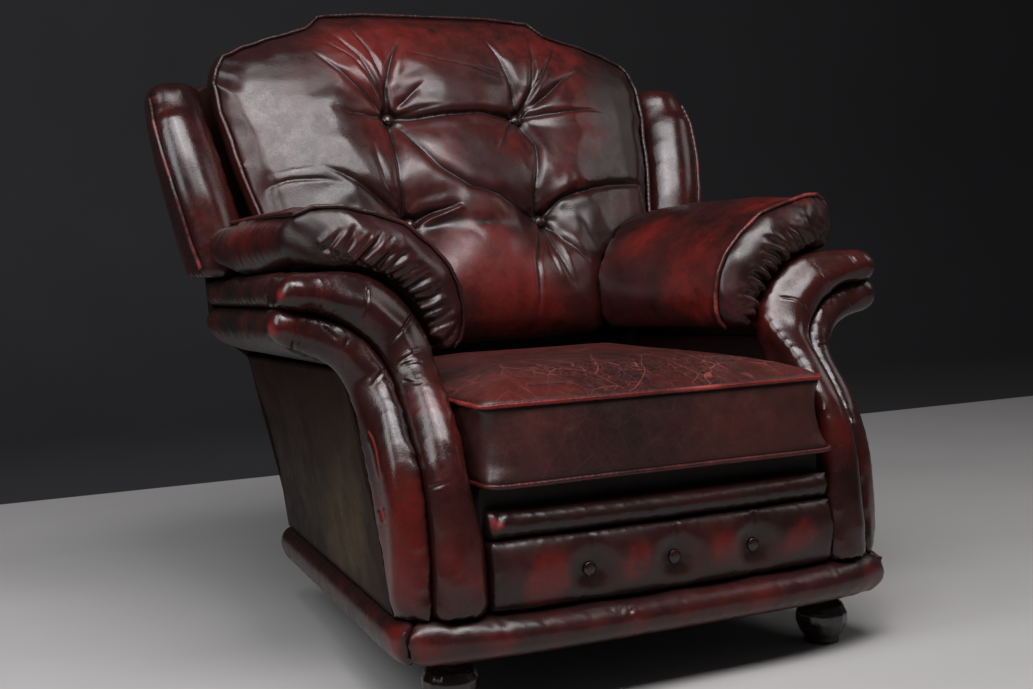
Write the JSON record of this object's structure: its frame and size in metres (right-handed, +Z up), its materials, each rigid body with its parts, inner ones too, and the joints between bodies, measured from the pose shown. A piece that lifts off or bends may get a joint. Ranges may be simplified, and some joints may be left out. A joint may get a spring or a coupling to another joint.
{
  "type": "club chair",
  "caption": "Worn leather club chair with a buttoned back, rolled arms under draped arm pillows, padded wings and a loose seat cushion on turned feet.",
  "frame": {"origin": "floor point under the middle of the chair's bounding box", "axes": "+Z up, -Y the way the chair faces, +X across the chair; the chair is mirror symmetric about X = 0"},
  "size_m": [0.9948, 0.833, 0.9809],
  "materials": {
    "oxblood_leather": "two-tone antiqued oxblood hide, glossy, worn redder on the high spots",
    "olive_brown_leather": "dark olive-brown hide, satin",
    "seat_leather": "worn oxblood hide with a net of pale creases",
    "piping_leather": "corded hide edge rubbed through to bright red",
    "button_leather": "small hide-covered upholstery button",
    "foot_wood": "turned foot, dark glossy polish",
    "frame_timber": "plain sawn hardwood, hidden",
    "padding": "dark felt over springs and padding, seen only in the gaps",
    "dust_cloth": "black woven dust cloth"
  },
  "bodies": {
    "root": {"arm_board_left": "frame_timber", "arm_board_right": "frame_timber", "arm_core_left": "padding", "arm_core_right": "padding", "arm_pillow_left": "oxblood_leather", "arm_pillow_piping_left": "piping_leather", "arm_pillow_piping_right": "piping_leather", "arm_pillow_right": "oxblood_leather", "back_board": "frame_timber", "back_button_low_left": "button_leather", "back_button_low_right": "button_leather", "back_button_top_left": "button_leather", "back_button_top_right": "button_leather", "back_cushion": "oxblood_leather", "back_cushion_piping": "piping_leather", "back_post_left": "frame_timber", "back_post_right": "frame_timber", "back_top_rail": "frame_timber", "dust_cover": "dust_cloth", "front_base_roll": "oxblood_leather", "front_board": "frame_timber", "front_border": "oxblood_leather", "front_button_left": "button_leather", "front_button_middle": "button_leather", "front_button_right": "button_leather", "front_foot_left": "foot_wood", "front_foot_right": "foot_wood", "front_post_left": "frame_timber", "front_post_right": "frame_timber", "front_rail": "frame_timber", "inner_front_roll_left": "oxblood_leather", "inner_front_roll_right": "oxblood_leather", "inside_arm_left": "oxblood_leather", "inside_arm_right": "oxblood_leather", "lower_side_band_left": "oxblood_leather", "lower_side_band_right": "oxblood_leather", "outer_front_roll_left": "oxblood_leather", "outer_front_roll_right": "oxblood_leather", "outside_back": "olive_brown_leather", "rear_foot_left": "foot_wood", "rear_foot_right": "foot_wood", "rear_rail": "frame_timber", "rear_seat_board": "frame_timber", "seat_bottom_piping": "piping_leather", "seat_cushion": "seat_leather", "seat_deck": "padding", "seat_lip_roll": "oxblood_leather", "seat_top_piping": "piping_leather", "side_base_roll_left": "oxblood_leather", "side_base_roll_right": "oxblood_leather", "side_panel_left": "olive_brown_leather", "side_panel_right": "olive_brown_leather", "side_rail_left": "frame_timber", "side_rail_right": "frame_timber", "upper_side_band_left": "oxblood_leather", "upper_side_band_right": "oxblood_leather", "wing_left": "oxblood_leather", "wing_piping_left": "piping_leather", "wing_piping_right": "piping_leather", "wing_right": "oxblood_leather"}
  },
  "joints": []
}
